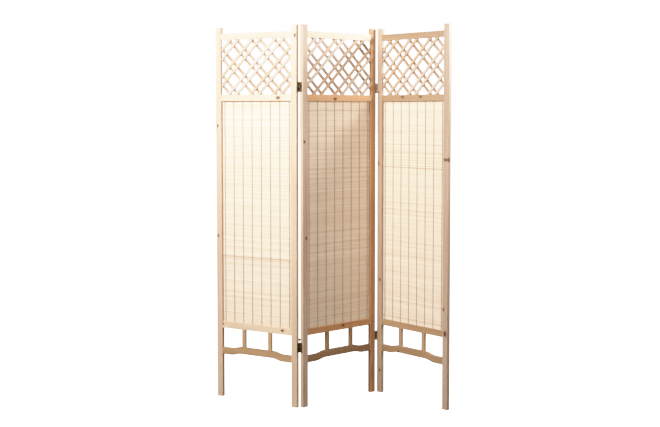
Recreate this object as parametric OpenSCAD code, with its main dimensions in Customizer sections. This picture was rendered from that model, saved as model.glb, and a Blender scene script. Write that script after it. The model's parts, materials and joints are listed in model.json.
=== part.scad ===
// Folding room divider: three pine panels joined by butt hinges.
// Each panel is drawn in its own frame, X along its width, Y towards its back and Z up,
// and then placed at the angle at which it stands. Millimetres throughout.

/* [Panel] */
// Width of one panel over its two posts
panel_w = 438; // [370:1:600]
// Height of the posts
panel_h = 1750; // [1200:5:2200]
// Width of a post, seen from the front
post_w = 30; // [24:1:50]
// Depth of a post, front to back
post_d = 20; // [18:1:40]
// Radius of the eased long edges of a post
post_edge_r = 2; // [0.5:0.5:4]

/* [Rails] */
// Height of the three straight rails
rail_h = 30; // [26:1:60]
// Depth of every rail, front to back
rail_d = 16; // [14:1:30]
// Radius of the eased long edges of rails and spindles
rail_edge_r = 1.5; // [0.5:0.5:3]
// How far the posts stand above the top rail
post_top = 29; // [5:1:80]
// Height of the lattice opening
lattice_h = 256; // [150:1:500]
// Length of a rail's tenon
tenon_l = 14; // [8:1:20]
// Height of a rail's tenon
tenon_h = 16; // [10:1:16]
// Thickness of a rail's tenon
tenon_d = 7; // [4:0.5:9]

/* [Arched rail and spindles] */
// Height of the arched rail's ends above the floor
foot_h = 205; // [100:1:300]
// Height of the arched rail's own section
arch_h = 32; // [24:1:50]
// How far the middle of the arched rail is raised
arch_rise = 10; // [0:1:25]
// Length of each curved stretch of the arched rail
arch_curve_l = 58; // [30:1:65]
// Height of the gap that the spindles stand in
spindle_h = 84; // [40:1:160]
// Width of a spindle, seen from the front
spindle_w = 20; // [12:0.5:26]
// Depth of a spindle, front to back
spindle_d = 13; // [10:0.5:14]
// Distance between the two spindles, centre to centre
spindle_spacing = 142; // [80:1:144]
// Length and width of a spindle's tenons
spindle_tenon = 8; // [5:0.5:9]

/* [Lattice] */
// Width of a lattice slat
slat_w = 14; // [8:0.5:16]
// Thickness of a lattice slat
slat_t = 5; // [2:0.25:5]
// Distance between one pair of slats and the next, along the rail
lattice_pitch = 122.5; // [90:0.5:160]
// How far the slats' pattern lies to the right of the opening's middle
lattice_shift = -2; // [-20:0.5:20]
// Distance between the two slats of a pair, along the rail
pair_spacing = 43.5; // [30:0.5:60]
// How far the slats reach into the rebate behind the frame
lattice_lap = 6; // [3:0.5:6]

/* [Woven mat] */
// Thickness of the woven mat
mat_t = 2; // [1:0.1:3]
// How far the mat lies behind the middle of the frame's depth
mat_back = 2; // [0:0.5:3]
// Depth of the groove that holds the mat
groove_d = 5; // [3:0.5:6]
// Number of vertical threads
thread_count = 8; // [4:1:12]
// Distance from a post to its nearest thread
thread_margin = 14; // [8:1:30]
// Width of a thread's line of loops
thread_w = 4; // [1:0.5:6]
// How far a thread stands off the mat
thread_t = 0.7; // [0.4:0.1:1.5]

/* [Hinges] */
// Height of a hinge
leaf_h = 45; // [30:1:80]
// Width of a hinge leaf on the post
leaf_w = 16; // [12:0.5:17]
// Thickness of a hinge leaf
leaf_t = 1.3; // [0.8:0.1:2]
// Diameter of a hinge's knuckles
knuckle_dia = 6; // [5:0.25:8]
// Diameter of a hinge pin
pin_dia = 3; // [2:0.25:3.5]
// Knuckles on a hinge
knuckles = 5; // [3:2:7]
// Centre of the upper hinges below the top of the posts
hinge_from_top = 282; // [100:1:500]
// Centre of the lower hinges above the floor
hinge_from_floor = 276; // [150:1:450]
// Diameter of a hinge screw's shank
screw_dia = 3; // [2:0.25:3.5]
// Length of a hinge screw's shank in the post
screw_l = 14; // [8:1:18]
// Distance between the two screws of a leaf
screw_spacing = 27; // [18:1:50]
// How far the head of the left lower hinge's pin stands off its knuckles
finial_lift = 8; // [0:1:12]
// Diameter of that head
finial_dia = 8.5; // [5:0.5:10]
// Height of that head
finial_h = 12; // [6:1:14]

/* [Standing position] */
// Angle of the left panel to the line of the screen
left_angle = -28; // [-80:0.5:0]
// Angle of the middle panel to the line of the screen
middle_angle = 38.5; // [0:0.5:80]
// Angle of the right panel to the line of the screen
right_angle = -46; // [-80:0.5:0]

/* [Fits] */
// Gap between the leaves of a closed hinge
leaf_gap = 0.4; // [0.2:0.1:1]
// Gap between knuckles, and from them to the posts
knuckle_gap = 0.4; // [0.2:0.05:0.8]
// Radial running clearance of a pin in the turning leaf
pin_clear = 0.05; // [0.02:0.01:0.1]
// Clearance round a screw's head in its leaf
screw_clear = 0.1; // [0.05:0.05:0.2]
// Clearance of the mat in its groove, each side
mat_clear = 0.3; // [0.1:0.1:0.5]

/* [Hidden] */
$fn = 48;
LEFT = 0;
MIDDLE = 1;
RIGHT = 2;
UPPER = 0;
LOWER = 1;
PANELS = ["left", "middle", "right"];
PANEL_PARTS = [
    "left_post", "right_post", "top_rail", "middle_rail", "lower_rail", "arched_rail",
    "spindles", "lattice_front", "lattice_back", "woven_mat", "mat_threads"
];

POST_COLOUR = "#e2c29a";
RAIL_COLOUR = "#d9b186";
SLAT_COLOUR = "#dfbd92";
MAT_COLOUR = "#efe0bd";
THREAD_COLOUR = "#a8946c";
HINGE_COLOUR = "#5a4428";
PIN_COLOUR = "#6f5832";
SCREW_COLOUR = "#8a6f3e";

// Heights of the pieces, from the floor up
arch_top = foot_h + arch_rise + arch_h;
lower_rail_z = arch_top + spindle_h;
middle_rail_z = panel_h - post_top - 2 * rail_h - lattice_h;
top_rail_z = panel_h - post_top - rail_h;
mat_bottom = lower_rail_z + rail_h;
lattice_bottom = middle_rail_z + rail_h;
opening_w = panel_w - 2 * post_w;
arch_flat_half = (spindle_spacing + spindle_w) / 2 + 3;
tenon_at = [
    foot_h + arch_h / 2,
    lower_rail_z + rail_h / 2,
    middle_rail_z + rail_h / 2,
    top_rail_z + rail_h / 2
];

// The lattice's two layers meet at the middle of the frame's depth
lattice_front_y = -slat_t;
groove_w = mat_t + 2 * mat_clear;
thread_step = (opening_w - 2 * thread_margin) / (thread_count - 1);

// Hinges: the posts stand one seam apart when the screen is flat
seam_gap = 2 * leaf_t + leaf_gap;
knuckle_r = knuckle_dia / 2;
pin_r = pin_dia / 2;
pin_y = post_d / 2 + knuckle_r + knuckle_gap;
knuckle_pitch = leaf_h / knuckles;
screw_y = post_d / 2 - leaf_w / 2;
screw_head_r = screw_dia;
hinge_z = [panel_h - hinge_from_top, hinge_from_floor];
pin_head_h = 1.6;
pin_head_r = knuckle_r;

// Where each panel stands. A panel's own origin is the outer side of its left post.
angles = [left_angle, middle_angle, right_angle];
function along(a) = [cos(a), sin(a)];
function back(a) = [-sin(a), cos(a)];
middle_at = along(middle_angle) * seam_gap / 2 - back(middle_angle) * pin_y;
left_at = -along(left_angle) * (panel_w + seam_gap / 2) - back(left_angle) * pin_y;
right_pin_at = middle_at + along(middle_angle) * (panel_w + seam_gap / 2)
    - back(middle_angle) * pin_y;
right_at = right_pin_at + along(right_angle) * seam_gap / 2 + back(right_angle) * pin_y;
raw_origins = [left_at, middle_at, right_at];

// The origin of the whole screen is the middle of its footprint, on the floor
corner_centres = [
    for (p = [LEFT:RIGHT], x = [post_edge_r, panel_w - post_edge_r], s = [-1, 1])
        raw_origins[p] + along(angles[p]) * x
            + back(angles[p]) * s * (post_d / 2 - post_edge_r)
];
xs = [for (c = corner_centres) c[0]];
ys = [for (c = corner_centres) c[1]];
centre = [(min(xs) + max(xs)) / 2, (min(ys) + max(ys)) / 2];
origins = [for (o = raw_origins) o - centre];
left_axis = -centre;
right_axis = right_pin_at - centre;

module in_panel(p) {
    translate([origins[p][0], origins[p][1], 0])
        rotate([0, 0, angles[p]])
            children();
}

// A section with eased corners, centred
module eased_section(w, d, r) {
    square([w - 2 * r, d], center = true);
    square([w, d - 2 * r], center = true);
    for (x = [-1, 1], y = [-1, 1])
        translate([x * (w / 2 - r), y * (d / 2 - r)])
            circle(r);
}

// A straight bar along X with eased long edges, its lower side at z = 0
module bar_x(l, d, h, r) {
    translate([0, 0, h / 2])
        rotate([90, 0, 90])
            linear_extrude(l)
                eased_section(d, h, r);
}

// Height of the arched rail's lower edge above its ends, at x from the panel's middle
function arch_lift(x) =
    let (s = (abs(x) - arch_flat_half) / arch_curve_l)
    s <= 0 ? arch_rise : s >= 1 ? 0 : arch_rise * (1 + cos(180 * s)) / 2;

// Mirrors the left post's shape onto the right post
module on_side(right) {
    if (right)
        translate([panel_w, 0, 0])
            mirror([1, 0, 0])
                children();
    else
        children();
}

// ---- Frame ----

module post_blank() {
    translate([post_w / 2, 0, 0])
        linear_extrude(panel_h)
            eased_section(post_w, post_d, post_edge_r);
}

module post_joinery() {
    for (z = tenon_at)
        translate([post_w - tenon_l, -tenon_d / 2, z - tenon_h / 2])
            cube([tenon_l + 1, tenon_d, tenon_h]);
    translate([post_w - groove_d, mat_back - groove_w / 2, mat_bottom - groove_d])
        cube([groove_d + 1, groove_w, middle_rail_z - mat_bottom + 2 * groove_d]);
    translate([post_w - lattice_lap, lattice_front_y, lattice_bottom - lattice_lap])
        cube([lattice_lap + 1, post_d, lattice_h + 2 * lattice_lap]);
}

// Pilot holes for one post's hinge screws; facing is 1 behind and -1 in front
module pilot_holes(facing) {
    for (z = hinge_z, s = [-1, 1])
        translate([-1, facing * screw_y, z + s * screw_spacing / 2])
            rotate([0, 90, 0])
                cylinder(h = screw_l + 1, r = screw_dia / 2);
}

// facing is 0 on a post with no hinge
module post(p, right, facing) {
    color(POST_COLOUR)
        in_panel(p)
            on_side(right)
                difference() {
                    post_blank();
                    post_joinery();
                    if (facing != 0)
                        pilot_holes(facing);
                }
}

module rail_tenons(centre_z) {
    for (x = [post_w - tenon_l, panel_w - post_w - 0.5])
        translate([x, -tenon_d / 2, centre_z - tenon_h / 2])
            cube([tenon_l + 0.5, tenon_d, tenon_h]);
}

module straight_rail(z) {
    translate([post_w, 0, z])
        bar_x(opening_w, rail_d, rail_h, rail_edge_r);
    rail_tenons(z + rail_h / 2);
}

// Rebate along a rail for the lattice, from z upwards
module lattice_rebate(z) {
    translate([post_w - 1, lattice_front_y, z])
        cube([opening_w + 2, rail_d, lattice_lap]);
}

// Groove along a rail for the mat, from z upwards
module mat_groove(z) {
    translate([post_w - 1, mat_back - groove_w / 2, z])
        cube([opening_w + 2, groove_w, groove_d]);
}

module top_rail(p) {
    color(RAIL_COLOUR)
        in_panel(p)
            difference() {
                straight_rail(top_rail_z);
                lattice_rebate(top_rail_z);
            }
}

module middle_rail(p) {
    color(RAIL_COLOUR)
        in_panel(p)
            difference() {
                straight_rail(middle_rail_z);
                lattice_rebate(lattice_bottom - lattice_lap);
                mat_groove(middle_rail_z);
            }
}

// Square sockets for the spindles' tenons, from z upwards
module spindle_sockets(z) {
    for (s = [-1, 1])
        translate([panel_w / 2 + s * spindle_spacing / 2 - spindle_tenon / 2,
                   -spindle_tenon / 2, z])
            cube([spindle_tenon, spindle_tenon, spindle_tenon]);
}

module lower_rail(p) {
    color(RAIL_COLOUR)
        in_panel(p)
            difference() {
                straight_rail(lower_rail_z);
                mat_groove(mat_bottom - groove_d);
                spindle_sockets(lower_rail_z);
            }
}

module arched_rail(p) {
    steps = 12;
    bend = [for (i = [0:steps]) arch_flat_half + arch_curve_l * i / steps];
    half = opening_w / 2;
    left_run = [for (i = [steps:-1:0]) -bend[i]];
    run = concat([-half], left_run, bend, [half]);
    last = len(run) - 1;
    lower = [for (x = run) [x, arch_lift(x)]];
    upper = [for (i = [last:-1:0]) [run[i], arch_lift(run[i]) + arch_h]];
    color(RAIL_COLOUR)
        in_panel(p)
            difference() {
                union() {
                    translate([panel_w / 2, rail_d / 2, foot_h])
                        rotate([90, 0, 0])
                            linear_extrude(rail_d)
                                polygon(concat(lower, upper));
                    rail_tenons(foot_h + arch_h / 2);
                }
                spindle_sockets(arch_top - spindle_tenon);
            }
}

module spindles(p) {
    color(RAIL_COLOUR)
        in_panel(p)
            for (s = [-1, 1])
                translate([panel_w / 2 + s * spindle_spacing / 2, 0, arch_top]) {
                    linear_extrude(spindle_h)
                        eased_section(spindle_w, spindle_d, rail_edge_r);
                    translate([-spindle_tenon / 2, -spindle_tenon / 2, -spindle_tenon])
                        cube([spindle_tenon, spindle_tenon, spindle_h + 2 * spindle_tenon]);
                }
}

// ---- Lattice ----

// One layer of slats at 45 degrees, lean 1 rising to the right and -1 to the left
module lattice_layer(p, lean, y) {
    reach = opening_w + lattice_h;
    fit = 0.3;
    pairs = ceil(reach / 2 / lattice_pitch);
    color(SLAT_COLOUR)
        in_panel(p)
            for (i = [-pairs:pairs], s = [-1, 1]) {
                shift = lattice_shift + i * lattice_pitch + s * pair_spacing / 2;
                if (abs(shift) < reach / 2)
                    intersection() {
                        translate([panel_w / 2 + shift, y, lattice_bottom + lattice_h / 2])
                            rotate([0, -lean * 45, 0])
                                translate([-reach, 0, -slat_w / 2])
                                    cube([2 * reach, slat_t, slat_w]);
                        translate([post_w - lattice_lap + fit, y,
                                   lattice_bottom - lattice_lap + fit])
                            cube([opening_w + 2 * (lattice_lap - fit), slat_t,
                                  lattice_h + 2 * (lattice_lap - fit)]);
                    }
            }
}

module lattice_front(p) {
    lattice_layer(p, 1, lattice_front_y);
}

module lattice_back(p) {
    lattice_layer(p, -1, lattice_front_y + slat_t);
}

// ---- Woven mat ----

module woven_mat(p) {
    tuck = groove_d - mat_clear;
    color(MAT_COLOUR)
        in_panel(p)
            translate([post_w - tuck, mat_back - mat_t / 2, mat_bottom - groove_d])
                cube([opening_w + 2 * tuck, mat_t,
                      middle_rail_z - mat_bottom + groove_d + tuck]);
}

module mat_threads(p) {
    color(THREAD_COLOUR)
        in_panel(p)
            for (i = [0:thread_count - 1], y = [-mat_t / 2 - thread_t, mat_t / 2])
                translate([post_w + thread_margin + i * thread_step - thread_w / 2,
                           mat_back + y, mat_bottom])
                    cube([thread_w, thread_t, middle_rail_z - mat_bottom]);
}

// ---- Hinges ----
// A hinge is drawn about its own axis, with its seam along Y: the plate's post is on
// the side given by x_side, and the posts lie towards -Y.

module knuckle(i, r, extra) {
    translate([0, 0, i * knuckle_pitch - extra])
        cylinder(h = knuckle_pitch + 2 * extra, r = r);
}

// first is 0 for the leaf with the outer knuckles and 1 for the leaf between them
module leaf(x_side, first) {
    own = [for (i = [first:2:knuckles - 1]) i];
    others = [for (i = [1 - first:2:knuckles - 1]) i];
    bore_r = first == 0 ? pin_r : pin_r + pin_clear;
    plate_x = x_side < 0 ? -seam_gap / 2 : seam_gap / 2 - leaf_t;
    plate_y = post_d / 2 - leaf_w - pin_y;
    difference() {
        union() {
            translate([plate_x, plate_y, 0])
                cube([leaf_t, -plate_y, leaf_h]);
            for (i = own)
                knuckle(i, knuckle_r, 0);
        }
        for (i = others)
            knuckle(i, knuckle_r + knuckle_gap, knuckle_gap / 2);
        translate([0, 0, -1])
            cylinder(h = leaf_h + 2, r = bore_r);
        for (s = [-1, 1])
            translate([x_side * seam_gap / 2, screw_y - pin_y,
                       leaf_h / 2 + s * screw_spacing / 2])
                rotate([0, -90 * x_side, 0]) {
                    translate([0, 0, -1])
                        cylinder(h = leaf_t + 2, r = screw_dia / 2 + screw_clear);
                    cylinder(h = leaf_t + 0.01, r1 = screw_dia / 2 + screw_clear,
                             r2 = screw_head_r + screw_clear);
                }
    }
}

module pin(with_finial) {
    cylinder(h = leaf_h, r = pin_r);
    if (with_finial) {
        finial_r = finial_dia / 2;
        translate([0, 0, leaf_h])
            cylinder(h = finial_lift, r = pin_r);
        translate([0, 0, leaf_h + finial_lift]) {
            cylinder(h = finial_h / 4, r1 = finial_r * 0.6, r2 = finial_r);
            translate([0, 0, finial_h / 4])
                cylinder(h = finial_h * 0.4, r = finial_r);
            translate([0, 0, finial_h * 0.65])
                cylinder(h = finial_h * 0.35, r1 = finial_r, r2 = finial_r * 0.45);
        }
    } else {
        translate([0, 0, leaf_h])
            cylinder(h = pin_head_h, r1 = pin_head_r, r2 = pin_head_r - 0.8);
    }
}

// One countersunk screw in a leaf, its shank running into the post along -Z
module screw() {
    head_h = leaf_t - screw_clear;
    difference() {
        union() {
            translate([0, 0, -screw_l])
                cylinder(h = screw_l, r = screw_dia / 2);
            cylinder(h = head_h, r1 = screw_dia / 2, r2 = screw_head_r);
        }
        for (a = [0, 90])
            rotate([0, 0, a])
                translate([-screw_head_r / 2, -0.3, head_h - 0.6])
                    cube([screw_head_r, 0.6, 1]);
    }
}

// Places a hinge drawn about its axis. It turns with the panel that it is screwed to.
module at_hinge(seam, level, p) {
    axis = seam == LEFT ? left_axis : right_axis;
    translate([axis[0], axis[1], hinge_z[level] - leaf_h / 2])
        rotate([0, 0, angles[p]])
            mirror([0, seam == LEFT ? 0 : 1, 0])
                children();
}

// The middle panel lies to the right of the left seam and to the left of the right seam
module outer_leaf(seam, level) {
    color(HINGE_COLOUR)
        at_hinge(seam, level, seam)
            leaf(seam == LEFT ? -1 : 1, 1);
}

module middle_leaf(seam, level) {
    color(HINGE_COLOUR)
        at_hinge(seam, level, MIDDLE)
            leaf(seam == LEFT ? 1 : -1, 0);
}

module hinge_pin(seam, level) {
    color(PIN_COLOUR)
        at_hinge(seam, level, MIDDLE)
            pin(seam == LEFT && level == LOWER);
}

module screws(seam, p, x_side) {
    color(SCREW_COLOUR)
        for (level = [UPPER, LOWER], s = [-1, 1])
            at_hinge(seam, level, p)
                translate([x_side * seam_gap / 2, screw_y - pin_y,
                           leaf_h / 2 + s * screw_spacing / 2])
                    rotate([0, -90 * x_side, 0])
                        screw();
}

module panel_part(p, part) {
    left_hinged = p == MIDDLE ? 1 : p == RIGHT ? -1 : 0;
    right_hinged = p == MIDDLE ? -1 : p == LEFT ? 1 : 0;
    if (part == "left_post") post(p, false, left_hinged);
    if (part == "right_post") post(p, true, right_hinged);
    if (part == "top_rail") top_rail(p);
    if (part == "middle_rail") middle_rail(p);
    if (part == "lower_rail") lower_rail(p);
    if (part == "arched_rail") arched_rail(p);
    if (part == "spindles") spindles(p);
    if (part == "lattice_front") lattice_front(p);
    if (part == "lattice_back") lattice_back(p);
    if (part == "woven_mat") woven_mat(p);
    if (part == "mat_threads") mat_threads(p);
}

for (p = [LEFT:RIGHT], part = PANEL_PARTS)
    panel_part(p, part);

for (seam = [LEFT, RIGHT], level = [UPPER, LOWER]) {
    name = str(PANELS[seam], "_hinge_", level == UPPER ? "upper" : "lower");
    outer_leaf(seam, level);
    middle_leaf(seam, level);
    hinge_pin(seam, level);
}

screws(LEFT, LEFT, -1);  // left_hinge_outer_screws
screws(LEFT, MIDDLE, 1);  // left_hinge_middle_screws
screws(RIGHT, RIGHT, 1);  // right_hinge_outer_screws
screws(RIGHT, MIDDLE, -1);  // right_hinge_middle_screws
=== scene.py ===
"""A folding pine room divider, dressed for display around its fixed frame.

The posts, rails, spindles and hinges are the frame's own and get their finishes here. The
woven mats and the lattice slats are built here slat by slat and strand by strand, in place of
the frame's plain ones. Lengths are in metres.
"""

import json
import logging
import math
from dataclasses import dataclass, field
from enum import Enum

import bmesh
import bpy
import numpy as np
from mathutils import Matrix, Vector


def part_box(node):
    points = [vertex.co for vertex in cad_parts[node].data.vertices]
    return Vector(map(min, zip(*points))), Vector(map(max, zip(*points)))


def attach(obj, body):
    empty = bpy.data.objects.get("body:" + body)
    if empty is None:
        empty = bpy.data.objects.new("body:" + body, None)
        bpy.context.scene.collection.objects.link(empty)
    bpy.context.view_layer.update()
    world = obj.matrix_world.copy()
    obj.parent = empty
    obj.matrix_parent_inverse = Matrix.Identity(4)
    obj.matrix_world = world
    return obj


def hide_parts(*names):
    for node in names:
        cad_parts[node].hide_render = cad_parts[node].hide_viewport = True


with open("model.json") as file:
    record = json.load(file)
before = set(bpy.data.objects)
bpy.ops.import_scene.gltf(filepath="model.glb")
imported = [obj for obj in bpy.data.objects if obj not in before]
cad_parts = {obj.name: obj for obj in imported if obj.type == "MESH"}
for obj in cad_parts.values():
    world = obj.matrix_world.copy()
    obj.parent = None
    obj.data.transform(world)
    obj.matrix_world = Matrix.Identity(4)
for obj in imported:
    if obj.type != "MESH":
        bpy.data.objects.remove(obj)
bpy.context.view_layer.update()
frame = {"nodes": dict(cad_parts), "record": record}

log = logging.getLogger("room_divider")
MM = 0.001
RGB = tuple[float, float, float]
Socket = bpy.types.NodeSocket


# ---- Where the panels stand ----


class PanelName(Enum):
    """The three panels, from the viewer's left."""

    LEFT = "left"
    MIDDLE = "middle"
    RIGHT = "right"


@dataclass(frozen=True)
class PanelSizes:
    """Sizes that every panel shares with the frame.

    A panel's own coordinates are u along its width from its left edge, n from the middle of
    its depth towards its back, and z up.
    """

    width: float = 438 * MM
    post_width: float = 30 * MM
    groove: float = 5 * MM
    rebate: float = 6 * MM
    fit: float = 0.3 * MM


SIZES = PanelSizes()


@dataclass(frozen=True)
class PanelPlace:
    """Where one panel stands, worked out from its two feet.

    Attributes:
        name: Which panel it is.
        left: The floor point under the middle of its left edge.
        angle: Its angle to the line of the screen, in radians.
    """

    name: PanelName
    left: tuple[float, float]
    angle: float

    @classmethod
    def from_record(cls, record: dict, name: PanelName) -> "PanelPlace":
        """Finds a panel from the middles of its posts' feet.

        Args:
            record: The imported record, whose mounts hold the feet.
            name: Which panel to find.

        Returns:
            The panel's place.
        """
        feet = {m["name"]: np.array(m["pos_m"]) for m in record["mounts"]}
        first = feet[f"{name.value}_panel_left_foot"]
        second = feet[f"{name.value}_panel_right_foot"]
        along = (second - first) / np.linalg.norm(second - first)
        left = first - along * SIZES.post_width / 2
        return cls(name, (left[0], left[1]), math.atan2(along[1], along[0]))

    @property
    def body(self) -> str:
        """Name of the moving body that the panel is."""
        return f"{self.name.value}_panel"

    def node(self, part: str) -> str:
        """Name of the panel's frame node for a part."""
        return f"{self.body}_{part}"

    def world(self, local: np.ndarray) -> np.ndarray:
        """Takes panel coordinates to the shared frame.

        A point is the left edge plus u along the panel and n square to it, with z unchanged.

        Args:
            local: Points as rows of u, n and z.

        Returns:
            The same points as rows of x, y and z.
        """
        c, s = math.cos(self.angle), math.sin(self.angle)
        u, n, z = local[..., 0], local[..., 1], local[..., 2]
        x = self.left[0] + u * c - n * s
        y = self.left[1] + u * s + n * c
        return np.stack([x, y, z], axis=-1)


# ---- Meshes ----


@dataclass
class Weave:
    """Points, faces and per-point values, gathered as arrays before they become a mesh."""

    points: np.ndarray
    faces: list[np.ndarray]
    values: dict[str, np.ndarray] = field(default_factory=dict)

    def mesh(self, name: str, smooth: bool = True) -> bpy.types.Mesh:
        """Makes the mesh, with each value as an attribute of its points.

        Args:
            name: The mesh's name.
            smooth: Whether its faces are shaded smooth.

        Returns:
            The new mesh.
        """
        corners = np.concatenate([f.ravel() for f in self.faces]).astype(np.int32)
        counts = np.concatenate([np.full(len(f), f.shape[1]) for f in self.faces])
        starts = np.concatenate([[0], np.cumsum(counts)[:-1]]).astype(np.int32)
        mesh = bpy.data.meshes.new(name)
        mesh.vertices.add(len(self.points))
        mesh.loops.add(len(corners))
        mesh.polygons.add(len(counts))
        mesh.vertices.foreach_set("co", self.points.astype(np.float32).ravel())
        mesh.loops.foreach_set("vertex_index", corners)
        mesh.polygons.foreach_set("loop_start", starts)
        mesh.polygons.foreach_set("use_smooth", np.full(len(counts), smooth))
        for label, value in self.values.items():
            kind = "FLOAT_VECTOR" if value.ndim == 2 else "FLOAT"
            store = mesh.attributes.new(label, kind, "POINT")
            slot = "vector" if value.ndim == 2 else "value"
            store.data.foreach_set(slot, value.astype(np.float32).ravel())
        mesh.update(calc_edges=True)
        mesh.validate()
        return mesh


def tube_faces(count: int, rings: int, sides: int) -> list[np.ndarray]:
    """Faces of many closed tubes whose points run tube by tube, ring by ring.

    Point k of ring j of tube i has index (i * rings + j) * sides + k. Each wall face joins two
    neighbours on a ring to the same two on the next, and each end is one flat face.

    Args:
        count: Number of tubes.
        rings: Rings on each tube.
        sides: Points on each ring.

    Returns:
        The wall's quads and the two sets of end faces.
    """
    i, j, k = np.meshgrid(
        np.arange(count), np.arange(rings - 1), np.arange(sides), indexing="ij"
    )
    here = (i * rings + j) * sides + k
    beside = (i * rings + j) * sides + (k + 1) % sides
    walls = np.stack([here, beside, beside + sides, here + sides], axis=-1)
    first = np.arange(count)[:, None] * rings * sides + np.arange(sides)
    last = first + (rings - 1) * sides
    return [walls.reshape(-1, 4), first[:, ::-1], last]


def oval(sides: int, half_width: float, half_height: float, squareness: float) -> np.ndarray:
    """A flattened oval: cosine and sine, each drawn towards one by a power below one.

    Args:
        sides: Number of points.
        half_width: Half its size along the first axis.
        half_height: Half its size along the second axis.
        squareness: The power, from 1 for an ellipse to near 0 for a rectangle.

    Returns:
        The points as rows, anticlockwise.
    """
    turn = 2 * np.pi * (np.arange(sides) + 0.5) / sides
    c, s = np.cos(turn), np.sin(turn)
    x = half_width * np.sign(c) * np.abs(c) ** squareness
    y = half_height * np.sign(s) * np.abs(s) ** squareness
    return np.stack([x, y], axis=-1)


def add_piece(name: str, mesh: bpy.types.Mesh, finish: bpy.types.Material) -> bpy.types.Object:
    """Puts a mesh in the scene as a piece in its finish.

    Args:
        name: The piece's name.
        mesh: Its mesh, already in place.
        finish: Its material.

    Returns:
        The new object.
    """
    piece = bpy.data.objects.new(name, mesh)
    mesh.materials.append(finish)
    bpy.context.scene.collection.objects.link(piece)
    return piece


# ---- Finishes ----


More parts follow.
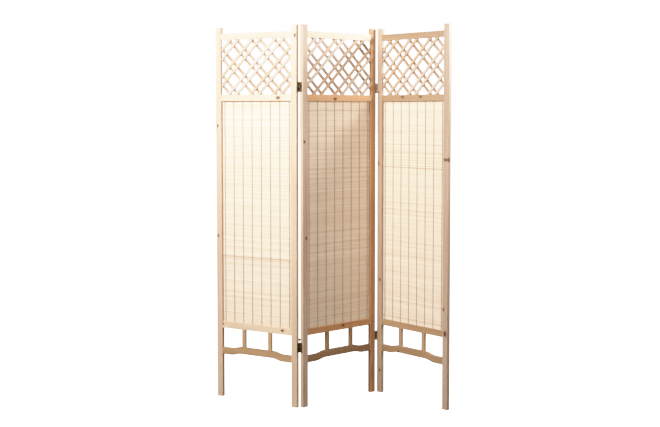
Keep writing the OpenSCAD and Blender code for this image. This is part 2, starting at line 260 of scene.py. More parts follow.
class Shader:
    """A material's node tree, built one call to a node."""

    def __init__(self, name: str) -> None:
        """Makes an empty material with an output.

        Args:
            name: The material's name.
        """
        self.material = bpy.data.materials.new(name)
        self.material.use_nodes = True
        self.tree = self.material.node_tree
        self.tree.nodes.clear()
        self.output = self.tree.nodes.new("ShaderNodeOutputMaterial")

    def link(self, value: "Socket | float | tuple", socket: Socket) -> None:
        """Links a socket to an input, or sets the input to a plain value."""
        if isinstance(value, bpy.types.NodeSocket):
            self.tree.links.new(value, socket)
        else:
            socket.default_value = value

    def math(self, operation: str, a: "Socket | float", b: "Socket | float" = 0.0,
             clamp: bool = False) -> Socket:
        """One Math node.

        Args:
            operation: Name of the operation.
            a: First value.
            b: Second value.
            clamp: Whether the result stays within 0 and 1.

        Returns:
            The result.
        """
        node = self.tree.nodes.new("ShaderNodeMath")
        node.operation = operation
        node.use_clamp = clamp
        self.link(a, node.inputs[0])
        self.link(b, node.inputs[1])
        return node.outputs[0]

    def fit(self, value: Socket, low: float, high: float, to_low: float = 0.0,
            to_high: float = 1.0) -> Socket:
        """Eases a value from one range to another with a smooth step.

        Args:
            value: The value.
            low: Where the step starts.
            high: Where it ends.
            to_low: Result at the start.
            to_high: Result at the end.

        Returns:
            The eased value.
        """
        node = self.tree.nodes.new("ShaderNodeMapRange")
        node.interpolation_type = "SMOOTHSTEP"
        for index, setting in enumerate((low, high, to_low, to_high), start=1):
            node.inputs[index].default_value = setting
        self.link(value, node.inputs[0])
        return node.outputs[0]

    def split(self, vector: Socket) -> tuple[Socket, Socket, Socket]:
        """Takes a vector apart.

        Args:
            vector: The vector.

        Returns:
            Its three parts.
        """
        node = self.tree.nodes.new("ShaderNodeSeparateXYZ")
        self.link(vector, node.inputs[0])
        return node.outputs[0], node.outputs[1], node.outputs[2]

    def join(self, x: "Socket | float", y: "Socket | float", z: "Socket | float") -> Socket:
        """Makes a vector.

        Args:
            x: Its first part.
            y: Its second part.
            z: Its third part.

        Returns:
            The vector.
        """
        node = self.tree.nodes.new("ShaderNodeCombineXYZ")
        for part, socket in zip((x, y, z), node.inputs):
            self.link(part, socket)
        return node.outputs[0]

    def scaled(self, vector: Socket, x: float, y: float, z: float) -> Socket:
        """Multiplies each part of a vector by its own number.

        Args:
            vector: The vector.
            x: Factor for its first part.
            y: Factor for its second part.
            z: Factor for its third part.

        Returns:
            The scaled vector.
        """
        node = self.tree.nodes.new("ShaderNodeVectorMath")
        node.operation = "MULTIPLY"
        self.link(vector, node.inputs[0])
        node.inputs[1].default_value = (x, y, z)
        return node.outputs[0]

    def noise(self, vector: Socket, scale: float = 1.0, detail: float = 2.0,
              roughness: float = 0.5) -> Socket:
        """Noise from 0 to 1 at a vector.

        Args:
            vector: Where to read it.
            scale: How fine it is.
            detail: Number of finer layers.
            roughness: Strength of the finer layers.

        Returns:
            The noise.
        """
        node = self.tree.nodes.new("ShaderNodeTexNoise")
        self.link(vector, node.inputs["Vector"])
        node.inputs["Scale"].default_value = scale
        node.inputs["Detail"].default_value = detail
        node.inputs["Roughness"].default_value = roughness
        return node.outputs[0]

    def blend(self, amount: "Socket | float", a: "Socket | RGB", b: "Socket | RGB",
              kind: str = "MIX") -> Socket:
        """Mixes two colours.

        Args:
            amount: Share of the second.
            a: First colour.
            b: Second colour.
            kind: Name of the way they mix.

        Returns:
            The colour.
        """
        node = self.tree.nodes.new("ShaderNodeMix")
        node.data_type = "RGBA"
        node.blend_type = kind
        self.link(amount, node.inputs[0])
        for value, socket in ((a, node.inputs[6]), (b, node.inputs[7])):
            self.link(value if isinstance(value, bpy.types.NodeSocket) else (*value, 1.0), socket)
        return node.outputs[2]

    def grey(self, value: Socket) -> Socket:
        """A grey from a value."""
        return self.join(value, value, value)

    def bump(self, height: Socket, strength: float, distance: float) -> Socket:
        """A surface normal from a height.

        Args:
            height: The height, from 0 to 1.
            strength: How strongly it acts.
            distance: What a height of 1 stands for, in metres.

        Returns:
            The normal.
        """
        node = self.tree.nodes.new("ShaderNodeBump")
        node.inputs["Strength"].default_value = strength
        node.inputs["Distance"].default_value = distance
        self.link(height, node.inputs["Height"])
        return node.outputs[0]

    def attribute(self, name: str, vector: bool) -> Socket:
        """Reads a value that the mesh's points carry.

        Args:
            name: The value's name.
            vector: Whether it has three parts.

        Returns:
            The value.
        """
        node = self.tree.nodes.new("ShaderNodeAttribute")
        node.attribute_name = name
        return node.outputs["Vector"] if vector else node.outputs["Fac"]

    def object_point(self) -> Socket:
        """The point in the piece's own coordinates."""
        return self.tree.nodes.new("ShaderNodeTexCoord").outputs["Object"]

    def finish(self, color: "Socket | RGB", roughness: "Socket | float", normal: Socket | None,
               **settings: float) -> bpy.types.Material:
        """Ends the material with one surface.

        Args:
            color: Base colour.
            roughness: Roughness.
            normal: Surface normal, or None for the mesh's own.
            **settings: Other inputs of the surface, by name with underscores for spaces.

        Returns:
            The material.
        """
        surface = self.tree.nodes.new("ShaderNodeBsdfPrincipled")
        plain = not isinstance(color, bpy.types.NodeSocket)
        self.link((*color, 1.0) if plain else color, surface.inputs["Base Color"])
        self.link(roughness, surface.inputs["Roughness"])
        if normal is not None:
            self.link(normal, surface.inputs["Normal"])
        for name, value in settings.items():
            surface.inputs[name.replace("_", " ")].default_value = value
        self.tree.links.new(surface.outputs[0], self.output.inputs["Surface"])
        return self.material


class Pine(Enum):
    """The boards' tones, each as its pale early wood and its darker late wood."""

    BLOND = ((0.52, 0.355, 0.235), (0.42, 0.25, 0.14))
    ROSE = ((0.48, 0.315, 0.215), (0.39, 0.22, 0.13))
    HONEY = ((0.52, 0.30, 0.155), (0.42, 0.195, 0.085))
    AMBER = ((0.53, 0.255, 0.115), (0.43, 0.165, 0.06))


class Grain(Enum):
    """Which way a board's grain runs in its panel."""

    UPRIGHT = "upright"
    LEVEL = "level"


@dataclass(frozen=True)
class Knot:
    """A knot that runs through a board.

    Attributes:
        along: Its place along the grain, as the height or the distance from the left edge.
        across: Its place across the grain, or in depth for one on a side.
        radius: Its radius.
        on_side: Whether it shows on the board's side and not on its front.
    """

    along: float
    across: float
    radius: float = 3.5 * MM
    on_side: bool = False


@dataclass(frozen=True)
class PineFinish:
    """Planed pine, cut from a log whose rings show as lines along the board.

    Attributes:
        name: The material's name.
        tone: Colour of the board.
        shade: How much paler than its tone it is, as a factor. It is set board by board to the
        brightness each board shows, so it holds painted light and shade besides the tone.
        grain: Which way the grain runs.
        place: The panel that the board is in.
        pith: Where the log's middle lies from the board, across and in depth.
        knots: Knots in the board.
        seed: Shift that makes this board's figure its own.
    """

    name: str
    tone: Pine
    shade: float
    grain: Grain
    place: PanelPlace
    pith: tuple[float, float] = (60 * MM, 45 * MM)
    knots: tuple[Knot, ...] = ()
    seed: float = 0.0
    ring: float = 3.1 * MM
    knot_color: RGB = (0.065, 0.02, 0.01)
    knot_stretch: float = 1.5
    knot_reach: float = 2.4

    def board_point(self, shader: Shader) -> tuple[Socket, Socket, Socket]:
        """Finds a point's place in the board.

        Args:
            shader: The material that asks.

        Returns:
            Its places across the grain, in depth, and along the grain.
        """
        turn = shader.tree.nodes.new("ShaderNodeMapping")
        turn.vector_type = "TEXTURE"
        shader.link(shader.object_point(), turn.inputs["Vector"])
        turn.inputs["Location"].default_value = (*self.place.left, 0.0)
        turn.inputs["Rotation"].default_value = (0.0, 0.0, self.place.angle)
        u, n, z = shader.split(turn.outputs[0])
        return (u, n, z) if self.grain is Grain.UPRIGHT else (z, n, u)

    def knot_distance(self, shader: Shader, knot: Knot, across: Socket, depth: Socket,
                      along: Socket) -> tuple[Socket, Socket]:
        """How far a point is from a knot's middle.

        Args:
            shader: The material.
            knot: The knot.
            across: Coordinate across the grain.
            depth: Coordinate in depth.
            along: Coordinate along the grain.

        Returns:
            The distance over the knot's radius, and the offset across.
        """
        over = depth if knot.on_side else across
        dx = shader.math("SUBTRACT", over, knot.across)
        dz = shader.math("SUBTRACT", along, knot.along)
        wide = shader.math("DIVIDE", dx, knot.radius)
        tall = shader.math("DIVIDE", dz, knot.radius * self.knot_stretch)
        square = shader.math("ADD", shader.math("MULTIPLY", wide, wide),
                             shader.math("MULTIPLY", tall, tall))
        return shader.math("SQRT", square), dx

    def material(self) -> bpy.types.Material:
        """Builds the material.

        The rings are the fraction of the distance from the pith over the ring width, with the
        distance bent by slow noise and pushed aside round each knot.

        Returns:
            The material.
        """
        shader = Shader(self.name)
        across, depth, along = self.board_point(shader)
        bent = across
        shades: list[Socket] = []
        for knot in self.knots:
            distance, dx = self.knot_distance(shader, knot, across, depth, along)
            pull = shader.fit(distance, 0.6, 3.2, 0.62, 0.0)
            bent = shader.math("SUBTRACT", bent, shader.math("MULTIPLY", dx, pull))
            shades.append(distance)
        place = shader.join(bent, depth, along)
        slow = shader.noise(shader.scaled(place, 9.0, 9.0, 1.3), detail=1.0)
        slow = shader.math("MULTIPLY", shader.math("SUBTRACT", slow, 0.5), 16 * MM)
        from_pith = shader.math("ADD", bent, self.pith[0] + self.seed * MM)
        in_depth = shader.math("ADD", depth, self.pith[1])
        radius = shader.math("SQRT", shader.math(
            "ADD", shader.math("MULTIPLY", from_pith, from_pith),
            shader.math("MULTIPLY", in_depth, in_depth)))
        radius = shader.math("ADD", radius, slow)
        ring = shader.math("FRACT", shader.math("DIVIDE", radius, self.ring))
        late = shader.math("MULTIPLY", shader.fit(ring, 0.35, 0.93), shader.fit(ring, 1.0, 0.95))
        shifted = shader.join(bent, depth, shader.math("ADD", along, self.seed))
        fibre = shader.noise(shader.scaled(shifted, 900.0, 900.0, 14.0), detail=3.0)
        cloud = shader.noise(shader.scaled(shifted, 26.0, 26.0, 2.2), detail=2.0)
        early_color, late_color = (
            tuple(part * self.shade for part in color) for color in self.tone.value
        )
        color = shader.blend(shader.math("MULTIPLY", late, 0.75), early_color, late_color)
        cast = shader.fit(cloud, 0.3, 0.7, 0.90, 1.08)
        warm = shader.blend(shader.fit(cloud, 0.35, 0.65), (1.0, 0.97, 0.92), (1.0, 1.0, 1.0))
        color = shader.blend(1.0, color, warm, "MULTIPLY")
        color = shader.blend(1.0, color, shader.grey(cast), "MULTIPLY")
        streak = shader.fit(fibre, 0.25, 0.75, 0.86, 1.07)
        color = shader.blend(1.0, color, shader.grey(streak), "MULTIPLY")
        for distance in shades:
            halo = shader.fit(distance, self.knot_reach, 0.9, 0.0, 0.55)
            color = shader.blend(halo, color, late_color)
            rings = shader.math("SINE", shader.math("MULTIPLY", distance, 11.0))
            core = shader.blend(shader.fit(rings, -1.0, 1.0, 0.0, 0.2), self.knot_color,
                                late_color)
            color = shader.blend(shader.fit(distance, 1.12, 0.85), color, core)
        height = shader.math("ADD", shader.math("MULTIPLY", fibre, 0.5),
                             shader.math("MULTIPLY", late, 0.5))
        return shader.finish(color, shader.fit(fibre, 0.2, 0.8, 0.62, 0.48),
                             shader.bump(height, 0.25, 0.15 * MM), Specular_IOR_Level=0.35)


@dataclass(frozen=True)
class SlatFinish:
    """Thin split-wood slats, each with its own tone and fibres along it.

    Attributes:
        name: The material's name.
        stops: Tone from 0 to 1, and the colour there.
        fibre: How fine the fibres are, along, across and from slat to slat.
        roughness: Roughness at the fibres' darkest and palest.
        edge: Distance below a slat's middle where a painted shade starts: the lower edge is
            darkened in colour for the shadow under the slat, or 0 for none.
        lower_edge_painted_shade: How dark that painted shade is, as a factor.
    """

    name: str
    stops: tuple[tuple[float, RGB], ...]
    fibre: tuple[float, float, float] = (11.0, 900.0, 900.0)
    roughness: tuple[float, float] = (0.72, 0.55)
    edge: float = 0.0
    lower_edge_painted_shade: float = 0.1

    def material(self) -> bpy.types.Material:
        """Builds the material from the points' tone and grain place.

        Returns:
            The material.
        """
        shader = Shader(self.name)
        tone = shader.attribute("tone", vector=False)
        grain = shader.attribute("grain", vector=True)
        ramp = shader.tree.nodes.new("ShaderNodeValToRGB")
        while len(ramp.color_ramp.elements) < len(self.stops):
            ramp.color_ramp.elements.new(0.5)
        for element, (place, color) in zip(ramp.color_ramp.elements, self.stops):
            element.position = place
            element.color = (*color, 1.0)
        patch = shader.noise(shader.scaled(grain, 14.0, 60.0, 60.0), detail=2.0)
        drift = shader.math("MULTIPLY", shader.math("SUBTRACT", patch, 0.5), 0.35)
        shader.link(shader.math("ADD", tone, drift, clamp=True), ramp.inputs[0])
        fibre = shader.noise(shader.scaled(grain, *self.fibre), detail=3.0, roughness=0.6)
        streak = shader.fit(fibre, 0.25, 0.75, 0.84, 1.06)
        color = shader.blend(1.0, ramp.outputs[0], shader.grey(streak), "MULTIPLY")
        # Painted shade: the colour darkens towards each slat's lower edge, standing in for the shadow on
        # its underside.
        if self.edge:
            _, across, _ = shader.split(grain)
            below = shader.math("MULTIPLY", across, -1.0)
            sawn_with_painted_shade = shader.fit(below, self.edge, self.edge * 1.05, 1.0, self.lower_edge_painted_shade)
            color = shader.blend(1.0, color, shader.grey(sawn_with_painted_shade), "MULTIPLY")
        return shader.finish(color, shader.fit(fibre, 0.2, 0.8, *self.roughness),
                             shader.bump(fibre, 0.3, 0.1 * MM), Specular_IOR_Level=0.3)


@dataclass(frozen=True)
class TwineFinish:
    """Dull cotton twine with its plies turning round it."""

    name: str = "mat_twine"
    pale: RGB = (0.27, 0.235, 0.20)
    dark: RGB = (0.15, 0.125, 0.10)
    plies_per_metre: float = 900.0

    def material(self) -> bpy.types.Material:
        """Builds the material: stripes run round and along the strand at a slant.

        Returns:
            The material.
        """
        shader = Shader(self.name)
        round_it, along, _ = shader.split(shader.attribute("grain", vector=True))
        turns = shader.math("ADD", shader.math("MULTIPLY", along, self.plies_per_metre), round_it)
        ply = shader.math("SINE", shader.math("MULTIPLY", turns, 2 * math.pi))
        fuzz = shader.noise(shader.scaled(shader.object_point(), 1.0, 1.0, 1.0), scale=420.0)
        shade = shader.math("ADD", shader.math("MULTIPLY", ply, 0.3), fuzz, clamp=True)
        color = shader.blend(shade, self.dark, self.pale)
        return shader.finish(color, 0.92, shader.bump(ply, 0.5, 0.1 * MM),
                             Sheen_Weight=0.15, Specular_IOR_Level=0.1)


@dataclass(frozen=True)
class BronzeFinish:
    """Dark antique bronze: brown patina rubbed back to brighter metal in patches."""

    name: str
    patina: RGB = (0.050, 0.034, 0.020)
    metal: RGB = (0.36, 0.24, 0.11)
    worn: float = 0.35

    def material(self) -> bpy.types.Material:
        """Builds the material: coarse noise sets where the metal shows, fine noise breaks it.

        Returns:
            The material.
        """
        shader = Shader(self.name)
        point = shader.object_point()
        coarse = shader.noise(point, scale=150.0, detail=3.0, roughness=0.6)
        fine = shader.noise(point, scale=1400.0, detail=2.0)
        mixed = shader.math("ADD", shader.math("MULTIPLY", coarse, 0.8),
                            shader.math("MULTIPLY", fine, 0.2))
        rubbed = shader.fit(mixed, 0.62 - self.worn / 2, 0.72 - self.worn / 4)
        color = shader.blend(rubbed, self.patina, self.metal)
        return shader.finish(color, shader.fit(mixed, 0.3, 0.7, 0.55, 0.34),
                             shader.bump(fine, 0.2, 0.05 * MM), Metallic=0.85)


# ---- The woven mats ----


@dataclass
class WovenMat:
    """One panel's mat: a stack of thin level slats bound by lines of twisted twine.

    Attributes:
        place: The panel that holds it.
        seed: Seed of its own random slats.
    """

    place: PanelPlace
    seed: int
    plane: float = 2 * MM
    slat_pitch: float = 5.1 * MM
    slat_height: float = 5.35 * MM
    slat_thickness: float = 1.5 * MM
    slat_sides: int = 6
    slat_roundness: float = 0.55
    sway: float = 0.03 * MM
    usual_tone: float = 0.62
    tone_spread: float = 0.125
    dark_share: float = 0.015
    line_count: int = 8
    line_margin: float = 14 * MM
    strand_radius: float = 0.8 * MM
    strand_sides: int = 4
    steps_per_slat: int = 3
    twist_gap: float = 2.6 * MM
    strand_swing: float = 1.1
    crossing: float = 0.4

    def span(self) -> tuple[float, float]:
        """Heights of the mat's lower and upper edges, from the frame's own mat."""
        low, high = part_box(self.place.node("woven_mat"))
        return low.z, high.z

    def lines(self) -> np.ndarray:
        """Distances of the twine lines from the panel's left edge, evenly spread."""
        first = SIZES.post_width + self.line_margin
        return np.linspace(first, SIZES.width - first, self.line_count)

    def slats(self) -> Weave:
        """Builds the slats.

        Each slat is a tube with a flattened oval section, whose stations are its two ends and
        the twine lines. At each station its middle sways up or down by a random amount.

        Returns:
            The slats' surface in the shared frame.
        """
        rng = np.random.default_rng(self.seed)
        low, high = self.span()
        count = int((high - low) / self.slat_pitch)
        pitch = (high - low) / count
        edge = SIZES.post_width - SIZES.groove + 2 * SIZES.fit
        stations = np.concatenate([[edge], self.lines(), [SIZES.width - edge]])
        rings = len(stations)
        section = oval(self.slat_sides, self.slat_thickness / 2, self.slat_height / 2,
                       self.slat_roundness)
        middle = low + (np.arange(count) + 0.5) * pitch
        sway = rng.normal(0.0, self.sway, (count, rings)).clip(-2 * self.sway, 2 * self.sway)
        fuller = 1.0 + rng.normal(0.0, 0.03, (count, 1)).clip(-0.02, 0.08)
        shape = (count, rings, self.slat_sides)
        u = np.broadcast_to(stations[None, :, None], shape)
        n = self.plane + np.broadcast_to(section[None, None, :, 0], shape)
        rise = section[None, None, :, 1] * fuller[:, :, None]
        z = middle[:, None, None] + sway[:, :, None] + rise
        z = z.clip(low, high)
        tone = self.tones(rng, count)
        values = {
            "tone": np.broadcast_to(tone[:, None, None], shape).ravel(),
            "grain": np.stack(
                [u, z, n + rng.uniform(0, 3, (count, 1, 1)) + np.zeros(shape)], axis=-1
            ).reshape(-1, 3),
        }
        points = self.place.world(np.stack([u, n, z], axis=-1)).reshape(-1, 3)
        return Weave(points, tube_faces(count, rings, self.slat_sides), values)

    def tones(self, rng: np.random.Generator, count: int) -> np.ndarray:
        """Random tones: most slats are close to each other and a few are much darker.

        Args:
            rng: The mat's random numbers.
            count: Number of slats.

        Returns:
            One tone a slat, from 0 for dark to 1 for pale.
        """
        tone = rng.normal(self.usual_tone, self.tone_spread, count)
        darker = rng.random(count) < self.dark_share
        tone[darker] -= rng.uniform(0.2, 0.4, darker.sum())
        return tone.clip(0.03, 0.97)

    def twine(self) -> Weave:
        """Builds the twine: two twists side by side on each line, each of two strands.

        With s counting slats, a strand's sideways place is the sine of half a turn times s,
        and its depth the cosine, drawn towards one so that the strand crosses over quickly
        between two slats. Its partner is opposite it. The two twists of a line turn opposite
        ways. Each ring is square to the strand's own direction.

        Returns:
            The strands' surface in the shared frame.
        """
        low, high = self.span()
        count = int((high - low) / self.slat_pitch)
        pitch = (high - low) / count
        s = np.linspace(0.0, count - 1.0, (count - 1) * self.steps_per_slat + 1)
        depth = self.slat_thickness / 2 + self.strand_radius
        side = self.strand_radius * self.strand_swing
        twists = self.lines()[:, None] + np.array([-0.5, 0.5]) * self.twist_gap
        lines = np.repeat(twists.ravel(), 2)
        sign = np.tile([1.0, -1.0], self.line_count * 2)
        hand = np.tile([1.0, 1.0, -1.0, -1.0], self.line_count)
        turn = np.pi * s
        u = lines[:, None] + (sign * hand)[:, None] * side * np.sin(turn)
        swing = np.cos(turn)
        n = self.plane + sign[:, None] * depth * np.sign(swing) * np.abs(swing) ** self.crossing
        z = np.broadcast_to(low + (s + 0.5) * pitch, u.shape)
        path = np.stack([u, n, z], axis=-1)
        heading = np.gradient(path, axis=1)
        heading /= np.linalg.norm(heading, axis=-1, keepdims=True)
        across = np.cross(heading, [1.0, 0.0, 0.0])
        across /= np.linalg.norm(across, axis=-1, keepdims=True)
        beside = np.cross(across, heading)
        angle = 2 * np.pi * np.arange(self.strand_sides) / self.strand_sides
        ring = (np.cos(angle)[:, None] * beside[:, :, None]
                + np.sin(angle)[:, None] * across[:, :, None])
        local = path[:, :, None] + self.strand_radius * ring
        shape = local.shape[:3]
        around = np.broadcast_to(angle / (2 * np.pi), shape)
        along = np.broadcast_to(z[:, :, None], shape)
        grain = np.stack([around, along, np.zeros(shape)], axis=-1).reshape(-1, 3)
        points = self.place.world(local).reshape(-1, 3)
        faces = tube_faces(shape[0], shape[1], shape[2])
        return Weave(points, faces, {"grain": grain})

    def build(self, slat_finish: bpy.types.Material, twine_finish: bpy.types.Material) -> None:
        """Adds the mat and its twine in place of the frame's plain ones.

        Args:
            slat_finish: Finish of the slats.
            twine_finish: Finish of the twine.
        """
        slats = add_piece(self.place.node("mat_slats"),
                          self.slats().mesh(self.place.node("mat_slats")), slat_finish)
        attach(slats, self.place.body)
        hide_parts(self.place.node("woven_mat"))
        strands = add_piece(self.place.node("mat_twine"),
                            self.twine().mesh(self.place.node("mat_twine")), twine_finish)
        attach(strands, self.place.body)
        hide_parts(self.place.node("mat_threads"))
        log.info("%s mat: %d slat faces, %d twine faces", self.place.name.value,
                 len(slats.data.polygons), len(strands.data.polygons))


# ---- The lattices ----


class Lean(Enum):
    """Which way a layer of lattice slats rises."""

    RIGHT = 1
    LEFT = -1


@dataclass
class LatticeLayer:
    """One layer of a panel's lattice: pairs of slats at 45 degrees, cut to the frame.

    Attributes:
        place: The panel that holds it.
        lean: Which way its slats rise.
        seed: Seed of its own random slats.
    """

    place: PanelPlace
    lean: Lean
    seed: int
    slat_width: float = 14 * MM
    slat_thickness: float = 5 * MM
    shift: float = -2 * MM
    pitch: float = 122.5 * MM
    spacing: float = 43.5 * MM
    sides: int = 12

    @property
    def part(self) -> str:
        """The frame's name for this layer."""
        return "lattice_front" if self.lean is Lean.RIGHT else "lattice_back"

    def shifts(self, reach: float) -> np.ndarray:
        """Finds where the slats cross the opening's mid height: half a spacing either side of each pitch.

        Args:
            reach: Width within which a slat can show in the opening.

        Returns:
            The slats' distances from the pattern's middle.
        """
        pairs = math.ceil(reach / 2 / self.pitch)
        middles = np.arange(-pairs, pairs + 1) * self.pitch
        both = (middles[:, None] + np.array([-0.5, 0.5]) * self.spacing).ravel()
        return both[np.abs(both + self.shift) < reach / 2]

    def bars(self, centre_z: float, reach: float) -> Weave:
        """Builds the slats at full length, before they are cut.

        Each is a straight tube with eased edges whose axis rises at 45 degrees: its points are
        the slat's shift, plus a distance along the slope, plus the section across the slope.

        Args:
            centre_z: Height of the opening's middle.
            reach: Length that every slat covers each way.

        Returns:
            The slats' surface in panel coordinates.
        """
        rng = np.random.default_rng(self.seed)
        shifts = self.shifts(reach)
        count = len(shifts)
        middle = self.slat_thickness * (-0.5 if self.lean is Lean.RIGHT else 0.5)
        section = oval(self.sides, self.slat_thickness / 2, self.slat_width / 2, 0.28)
        stations = np.linspace(-reach, reach, 5)
        shape = (count, len(stations), self.sides)
        slope = math.radians(45.0)
        lean = float(self.lean.value)
        tilt = rng.normal(0.0, math.radians(0.18), (count, 1, 1))
        wide = (1.0 + rng.normal(0.0, 0.02, (count, 1, 1))).clip(0.95, 1.0)
        drift = rng.normal(0.0, 0.35 * MM, (count, 1, 1))
        along = np.broadcast_to(stations[None, :, None], shape)
        across = section[None, None, :, 1] * wide + np.zeros(shape)
        angle = slope + tilt
        u = (SIZES.width / 2 + self.shift + shifts[:, None, None] + drift
             + lean * (along * np.cos(angle)) - lean * across * np.sin(angle))
        z = centre_z + along * np.sin(angle) + across * np.cos(angle)
        n = middle + section[None, None, :, 0] + np.zeros(shape)
        tone = rng.normal(0.5, 0.22, count).clip(0.0, 1.0)
        offset = rng.uniform(0.0, 4.0, (count, 1, 1)) + np.zeros(shape)
        values = {
            "tone": np.broadcast_to(tone[:, None, None], shape).ravel(),
            "grain": np.stack([along + offset, across, n + offset], axis=-1).reshape(-1, 3),
        }
        points = np.stack([u, n, z], axis=-1).reshape(-1, 3)
        return Weave(points, tube_faces(*shape), values)

    def build(self, finish: bpy.types.Material) -> None:
        """Adds the layer, cut to the frame's rebates, in place of the frame's plain one.

        Args:
            finish: Finish of the slats.
        """
        node = self.place.node(self.part)
        low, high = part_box(node)
        left = SIZES.post_width - SIZES.rebate + SIZES.fit
        right = SIZES.width - left
        mesh = self.bars((low.z + high.z) / 2, right - left + high.z - low.z).mesh(node, False)
        cutter = bmesh.new()
        cutter.from_mesh(mesh)
        for point, normal in (
            ((left, 0, 0), (-1, 0, 0)), ((right, 0, 0), (1, 0, 0)),
            ((0, 0, low.z), (0, 0, -1)), ((0, 0, high.z), (0, 0, 1)),
        ):
            whole = cutter.verts[:] + cutter.edges[:] + cutter.faces[:]
            cut = bmesh.ops.bisect_plane(cutter, geom=whole, plane_co=point, plane_no=normal,
                                         clear_outer=True)
            rim = [e for e in cut["geom_cut"] if isinstance(e, bmesh.types.BMEdge)]
            bmesh.ops.holes_fill(cutter, edges=rim, sides=0)
        bmesh.ops.recalc_face_normals(cutter, faces=cutter.faces[:])
        cutter.to_mesh(mesh)
        cutter.free()
        points = np.zeros(len(mesh.vertices) * 3)
        mesh.vertices.foreach_get("co", points)
        placed = self.place.world(points.reshape(-1, 3))
        mesh.vertices.foreach_set("co", placed.ravel())
        mesh.update()
        piece = add_piece(self.place.node(f"{self.part}_slats"), mesh, finish)
        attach(piece, self.place.body)
        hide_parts(node)
        log.info("%s %s: %d faces", self.place.name.value, self.part, len(mesh.polygons))


# ---- The frame's own boards and hinges ----


def dress(node: str, finish: bpy.types.Material) -> None:
    """Gives a frame node one finish all over.

    Args:
        node: The node's name.
        finish: Its material.
    """
    piece = frame["nodes"][node]
    for slot in piece.material_slots:
        slot.material = finish
    log.info("%s: %s", node, finish.name)


@dataclass(frozen=True)
class Board:
    """How one of the frame's boards looks: its tone, grain and knots."""

    part: str
    tone: Pine
    shade: float
    grain: Grain
    knots: tuple[Knot, ...] = ()
    pith: tuple[float, float] = (60 * MM, 45 * MM)


@dataclass
class PanelBoards:
    """The boards of one panel, each cut from its own piece of pine."""

    place: PanelPlace
    boards: tuple[Board, ...]

    def build(self) -> None:
        """Gives every board its finish."""
        for index, board in enumerate(self.boards):
            node = self.place.node(board.part)
            seed = 3.7 * index + 11.0 * list(PanelName).index(self.place.name)
            finish = PineFinish(f"pine_{node}", board.tone, board.shade, board.grain, self.place,
                                board.pith, board.knots, seed)
            dress(node, finish.material())


def panel_boards(name: PanelName) -> tuple[Board, ...]:
    """The boards of a panel.

    Args:
        name: Which panel.

    Returns:
        Its posts, rails and spindles.
    """
    # Each board's shade factor is set to the brightness that board shows, so it holds painted light and
    # shade as well as the board's own tone.
    up, level = Grain.UPRIGHT, Grain.LEVEL
    if name is PanelName.LEFT:
        return (
            Board("left_post", Pine.ROSE, 1.12, up,
                  (Knot(1290 * MM, 10 * MM, 5 * MM), Knot(770 * MM, 10 * MM, 5 * MM))),
            Board("right_post", Pine.BLOND, 1.1, up, (Knot(1700 * MM, 430 * MM, 6 * MM),)),
            Board("top_rail", Pine.ROSE, 1.12, level),
            Board("middle_rail", Pine.ROSE, 1.35, level, (Knot(340 * MM, 1420 * MM, 8 * MM),)),
            Board("lower_rail", Pine.BLOND, 1.25, level,
                  (Knot(360 * MM, 350 * MM, 6 * MM), Knot(30 * MM, 350 * MM, 6 * MM))),
            Board("arched_rail", Pine.HONEY, 0.66, level),
            Board("spindles", Pine.HONEY, 0.75, up),
        )
    if name is PanelName.MIDDLE:
        return (
            Board("left_post", Pine.ROSE, 1.05, up,
                  (Knot(1220 * MM, 10 * MM, 5 * MM), Knot(780 * MM, 20 * MM, 5 * MM))),
            Board("right_post", Pine.AMBER, 0.74, up),
            # Painted light: this rail is made much paler than its tone, standing in for the strong light
            # falling on it.
            Board("top_rail", Pine.BLOND, 1.4, level),
            Board("middle_rail", Pine.AMBER, 1.1, level, (Knot(190 * MM, 1415 * MM, 7 * MM),)),
            Board("lower_rail", Pine.AMBER, 1.0, level, (Knot(240 * MM, 350 * MM, 5 * MM),)),
            Board("arched_rail", Pine.HONEY, 0.66, level),
            Board("spindles", Pine.HONEY, 0.75, up),
        )
    return (
        Board("left_post", Pine.ROSE, 0.85, up,
              (Knot(1110 * MM, 10 * MM, 5 * MM), Knot(550 * MM, 20 * MM, 5 * MM),
               Knot(110 * MM, 20 * MM, 5 * MM), Knot(1450 * MM, 10 * MM, 3.5 * MM))),
        Board("right_post", Pine.ROSE, 0.78, up,
              (Knot(350 * MM, 425 * MM, 9 * MM), Knot(460 * MM, 415 * MM, 5 * MM),
               Knot(1140 * MM, -5 * MM, 6.5 * MM, True))),
        Board("top_rail", Pine.HONEY, 0.58, level),
        Board("middle_rail", Pine.HONEY, 0.60, level,
              (Knot(160 * MM, 1425 * MM, 6 * MM), Knot(270 * MM, 1425 * MM, 6 * MM))),
        Board("lower_rail", Pine.HONEY, 0.66, level),
        Board("arched_rail", Pine.HONEY, 0.55, level, (Knot(140 * MM, 220 * MM, 5 * MM),)),
        Board("spindles", Pine.HONEY, 0.7, up),
    )


@dataclass(frozen=True)
class Hinges:
    """The four hinges, whose leaves, pins and screws keep the frame's shapes."""

    leaf: BronzeFinish = BronzeFinish("bronze_leaf")
    pin: BronzeFinish = BronzeFinish("bronze_pin", worn=0.3)
    screw: BronzeFinish = BronzeFinish("bronze_screw", metal=(0.5, 0.36, 0.18), worn=0.5)

    def build(self) -> None:
        """Gives every hinge node its finish."""
        leaf, pin, screw = self.leaf.material(), self.pin.material(), self.screw.material()
        for node in sorted(frame["nodes"]):
            if "_hinge_" not in node:
                continue
            if node.endswith("_pin"):
                dress(node, pin)
            elif node.endswith("_screws"):
                dress(node, screw)
            else:
                dress(node, leaf)


# ---- Studio ----


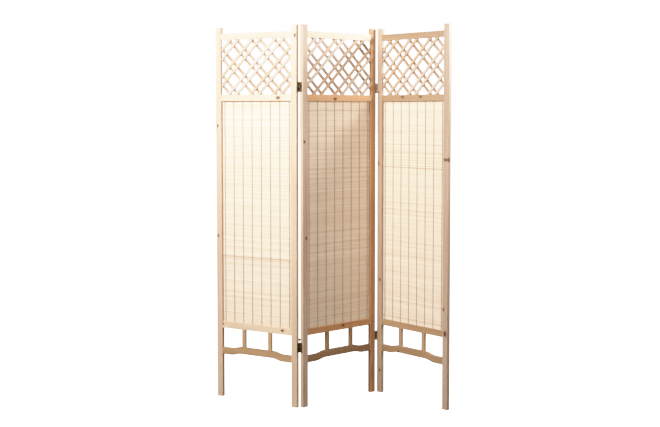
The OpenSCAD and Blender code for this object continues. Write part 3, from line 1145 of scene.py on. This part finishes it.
@dataclass(frozen=True)
class StudioLight:
    """A square soft light aimed at a point on the screen.

    Attributes:
        name: Its name.
        azimuth: Its direction from the aim, in degrees from the front towards the right.
        elevation: Its height above the aim, in degrees.
        distance: Its distance from the aim.
        size: Length of its side.
        power: Its power in watts.
        color: Its colour.
        aim: The point that it faces.
    """

    name: str
    azimuth: float
    elevation: float
    distance: float
    size: float
    power: float
    color: RGB = (1.0, 1.0, 1.0)
    aim: tuple[float, float, float] = (0.0, 0.0, 0.9)

    def build(self) -> None:
        """Adds the light."""
        a, e = math.radians(self.azimuth), math.radians(self.elevation)
        back = np.array([math.sin(a) * math.cos(e), -math.cos(a) * math.cos(e), math.sin(e)])
        data = bpy.data.lights.new(self.name, "AREA")
        data.shape = "SQUARE"
        data.size = self.size
        data.energy = self.power
        data.color = self.color
        lamp = bpy.data.objects.new(self.name, data)
        lamp.visible_camera = False
        lamp.location = np.array(self.aim) + back * self.distance
        lamp.rotation_mode = "QUATERNION"
        lamp.rotation_quaternion = Vector(back).to_track_quat("Z", "Y")
        bpy.context.scene.collection.objects.link(lamp)
        log.info("light %s", self.name)


@dataclass(frozen=True)
class Studio:
    """A white studio: soft lights, a pale floor and a plain white surround."""

    lights: tuple[StudioLight, ...] = (
        StudioLight("key", -51.2, 35.0, 2.3, 0.45, 120.0, aim=(-0.13, -0.11, 0.95)),
        StudioLight("front", 8.0, 18.0, 3.2, 1.6, 78.0, aim=(0.0, 0.0, 1.1)),
        StudioLight("side", 94.5, 30.0, 0.89, 0.3, 46.0, aim=(0.53, -0.16, 1.55)),
        StudioLight("crown", -30.0, 40.0, 0.8, 0.3, 3.0, aim=(0.0, 0.0, 1.72)),
    )
    ambient: float = 0.06
    ambient_below: float = 0.04
    floor_reach: float = 60.0

    def floor(self) -> None:
        """Adds the floor: one large, pale, nearly shadowless plane."""
        reach = self.floor_reach
        corners = np.array([[-1, -1, 0], [1, -1, 0], [1, 1, 0], [-1, 1, 0]], float) * reach
        mesh = Weave(corners, [np.array([[0, 1, 2, 3]])]).mesh("floor", False)
        shader = Shader("floor_paint")
        glow = shader.tree.nodes.new("ShaderNodeEmission")
        glow.inputs["Strength"].default_value = 4.2
        matte = shader.tree.nodes.new("ShaderNodeBsdfDiffuse")
        matte.inputs["Color"].default_value = (0.8, 0.8, 0.8, 1.0)
        both = shader.tree.nodes.new("ShaderNodeMixShader")
        both.inputs[0].default_value = 0.25
        shader.tree.links.new(glow.outputs[0], both.inputs[1])
        shader.tree.links.new(matte.outputs[0], both.inputs[2])
        shader.tree.links.new(both.outputs[0], shader.output.inputs["Surface"])
        floor = add_piece("floor", mesh, shader.material)
        floor.visible_diffuse = False
        floor.visible_glossy = False

    def surround(self) -> None:
        """Makes the surround: white where it is seen, dimmer where it lights the screen."""
        world = bpy.data.worlds.new("studio")
        world.use_nodes = True
        tree = world.node_tree
        tree.nodes.clear()
        output = tree.nodes.new("ShaderNodeOutputWorld")
        seen = tree.nodes.new("ShaderNodeBackground")
        seen.inputs["Strength"].default_value = 3.0
        lit = tree.nodes.new("ShaderNodeBackground")
        coordinate = tree.nodes.new("ShaderNodeTexCoord")
        split = tree.nodes.new("ShaderNodeSeparateXYZ")
        level = tree.nodes.new("ShaderNodeMapRange")
        level.inputs[1].default_value = -0.1
        level.inputs[2].default_value = 0.25
        level.inputs[3].default_value = self.ambient_below
        level.inputs[4].default_value = self.ambient
        path = tree.nodes.new("ShaderNodeLightPath")
        mix = tree.nodes.new("ShaderNodeMixShader")
        tree.links.new(coordinate.outputs["Generated"], split.inputs[0])
        tree.links.new(split.outputs[2], level.inputs[0])
        tree.links.new(level.outputs[0], lit.inputs["Strength"])
        tree.links.new(path.outputs["Is Camera Ray"], mix.inputs[0])
        tree.links.new(lit.outputs[0], mix.inputs[1])
        tree.links.new(seen.outputs[0], mix.inputs[2])
        tree.links.new(mix.outputs[0], output.inputs["Surface"])
        bpy.context.scene.world = world

    def film(self) -> None:
        """Sets how light becomes picture: even up to the mid tones, with a soft shoulder."""
        view = bpy.context.scene.view_settings
        view.view_transform = "Standard"
        view.look = "None"
        view.use_curve_mapping = True
        mapping = view.curve_mapping
        mapping.white_level = (3.0, 3.0, 3.0)
        curve = mapping.curves[3]
        shoulder = ((0.2, 0.6), (0.303, 0.775), (0.4, 0.885), (0.633, 0.97))
        for place, level in shoulder:
            curve.points.new(place, level)
        mapping.update()

    def build(self) -> None:
        """Adds everything."""
        for light in self.lights:
            light.build()
        self.floor()
        self.surround()
        self.film()


@dataclass(frozen=True)
class Camera:
    """The camera: a short telephoto view from head height, level with the top panels.

    Attributes:
        place: Its place.
        tilt: How far it looks down, in degrees.
        lens: Its focal length in millimetres, on a sensor 36 millimetres wide.
        rise: How far the picture is moved down on the sensor, as a share of its width.
    """

    place: tuple[float, float, float] = (-3.1 * MM, -4690.0 * MM, 1353.2 * MM)
    tilt: float = 3.08
    lens: float = 55.1
    rise: float = -0.0708

    def build(self) -> None:
        """Adds the camera and makes it the scene's own."""
        data = bpy.data.cameras.new("camera")
        data.sensor_width = 36.0
        data.lens = self.lens
        data.shift_y = self.rise
        data.clip_end = 200.0
        camera = bpy.data.objects.new("camera", data)
        camera.location = self.place
        camera.rotation_euler = (math.radians(90.0 - self.tilt), 0.0, 0.0)
        bpy.context.scene.collection.objects.link(camera)
        bpy.context.scene.camera = camera
        log.info("camera ready")


MAT_TONES = (
    (0.0, (0.44, 0.27, 0.16)),
    (0.3, (0.68, 0.47, 0.30)),
    (0.6, (0.80, 0.58, 0.40)),
    (1.0, (0.88, 0.68, 0.49)),
)
FRONT_TONES = (
    (0.0, (0.42, 0.21, 0.10)),
    (0.5, (0.46, 0.295, 0.19)),
    (1.0, (0.51, 0.36, 0.26)),
)
# Painted shade: the back layer's slats are made darker than the front layer's, standing in for the shade
# they lie in behind it.
BACK_TONES_PAINTED_SHADE = (
    (0.0, (0.28, 0.13, 0.055)),
    (0.5, (0.33, 0.19, 0.105)),
    (1.0, (0.40, 0.26, 0.17)),
)


def main() -> None:
    """Builds the studio, the camera and every piece, in order."""
    logging.basicConfig(level=logging.INFO, format="%(name)s: %(message)s")
    Camera().build()
    Studio().build()
    slat_finish = SlatFinish("mat_slat_wood", MAT_TONES).material()
    twine_finish = TwineFinish().material()
    # These lattice settings include a painted shade along each slat's lower edge.
    sawn_with_painted_shade = {"fibre": (9.0, 700.0, 700.0), "roughness": (0.62, 0.5), "edge": 6.0 * MM}
    lattice = {
        Lean.RIGHT: SlatFinish("lattice_front_pine", FRONT_TONES, **sawn_with_painted_shade).material(),
        # The back layer's finish carries painted shade.
        Lean.LEFT: SlatFinish("lattice_back_pine_painted_shade", BACK_TONES_PAINTED_SHADE, **sawn_with_painted_shade).material(),
    }
    for index, name in enumerate(PanelName):
        place = PanelPlace.from_record(frame["record"], name)
        PanelBoards(place, panel_boards(name)).build()
        WovenMat(place, seed=20 + index).build(slat_finish, twine_finish)
        for lean in Lean:
            LatticeLayer(place, lean, seed=40 + 2 * index + lean.value).build(lattice[lean])
    Hinges().build()


if __name__ == "__main__":
    main()
